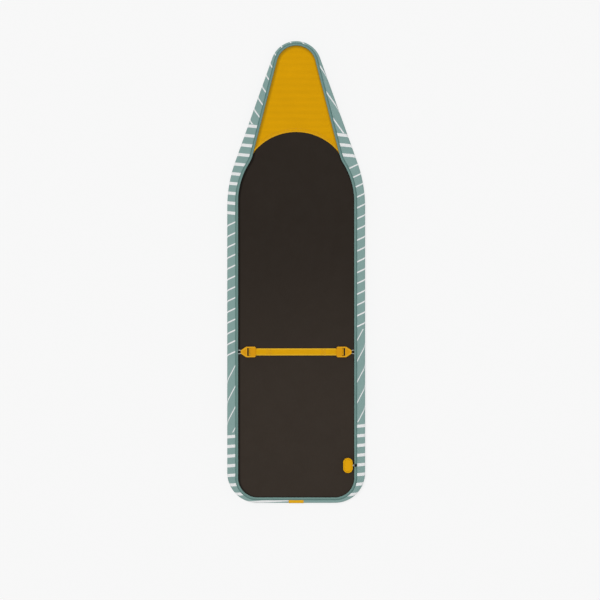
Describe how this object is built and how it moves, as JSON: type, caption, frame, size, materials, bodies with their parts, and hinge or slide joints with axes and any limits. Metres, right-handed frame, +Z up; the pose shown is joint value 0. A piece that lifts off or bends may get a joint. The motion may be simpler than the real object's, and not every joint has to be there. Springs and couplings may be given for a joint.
{
  "type": "ironing board top",
  "caption": "Long covered ironing-board top, tapered to a round nose, lying face down: fitted cloth cover with a corded hem, nose pocket, cross strap with hook buckles and a cord lock.",
  "frame": {"origin": "on the ironing face, which lies on the floor, at the middle of the footprint's bounding box", "axes": "+Y runs along the board to its pointed nose, +Z runs up out of the underside, because the board lies on its ironing face, and +X runs across, to the side with the cord lock"},
  "size_m": [0.37, 1.24, 0.0363],
  "materials": {
    "printed_cloth": "matt woven cotton, muted teal with a white stripe print",
    "foam": "open-cell foam, cream",
    "felt": "needled felt, pale grey",
    "board_wood": "pressed wood board, raw",
    "dark_panel": "hardboard, matt dark brown lacquer",
    "hem_cloth": "matt woven binding, muted teal",
    "elastic_cord": "braided elastic cord, light grey",
    "pocket_cloth": "plain woven cloth, mustard",
    "lip_cloth": "folded binding, mustard",
    "tab_cloth": "folded tape, mustard",
    "eyelet_black": "black moulded ring",
    "webbing": "woven narrow webbing, mustard",
    "buckle_plastic": "satin moulded plastic, mustard",
    "lock_plastic": "satin moulded plastic, mustard",
    "lock_button_plastic": "satin moulded plastic, mustard",
    "spring_steel": "drawn spring wire"
  },
  "bodies": {
    "board": {"cover_fabric": "printed_cloth", "foam_layer": "foam", "felt_layer": "felt", "board_core": "board_wood", "board_backing": "dark_panel", "hem_casing": "hem_cloth", "drawcord": "elastic_cord", "nose_pocket": "pocket_cloth", "pocket_lip": "lip_cloth", "tail_tab": "tab_cloth", "cord_eyelet": "eyelet_black", "lock_cords": "elastic_cord"},
    "strap": {"strap_webbing": "webbing", "strap_tails": "webbing"},
    "right_buckle": {"right_buckle": "buckle_plastic", "right_webbing_end": "webbing"},
    "left_buckle": {"left_buckle": "buckle_plastic", "left_webbing_end": "webbing"},
    "cord_lock": {"lock_housing": "lock_plastic", "lock_base": "lock_plastic", "lock_springs": "spring_steel", "cord_knot": "elastic_cord"},
    "lock_button": {"lock_button": "lock_button_plastic"}
  },
  "joints": [
    {"name": "strap_lift_off", "type": "slide", "parent": "board", "child": "strap", "axis": [0, 0, 1], "range_m": [0, 0.1]},
    {"name": "right_buckle_tilt", "type": "hinge", "parent": "strap", "child": "right_buckle", "pos_m": [0.1082, -0.214, 0.0251], "axis": [0, -1, 0], "range_deg": [0, 75]},
    {"name": "left_buckle_tilt", "type": "hinge", "parent": "strap", "child": "left_buckle", "pos_m": [-0.1082, -0.214, 0.0251], "axis": [0, 1, 0], "range_deg": [0, 75]},
    {"name": "cord_lock_pull", "type": "slide", "parent": "board", "child": "cord_lock", "axis": [-1, 0, 0], "range_m": [0, 0.04], "stiffness_N_per_m": 60, "deforming": ["lock_cords"]},
    {"name": "lock_button_press", "type": "slide", "parent": "cord_lock", "child": "lock_button", "axis": [0, 0, -1], "range_m": [0, 0.002], "stiffness_N_per_m": 600, "springref_m": -0.003, "deforming": ["lock_springs"]}
  ]
}
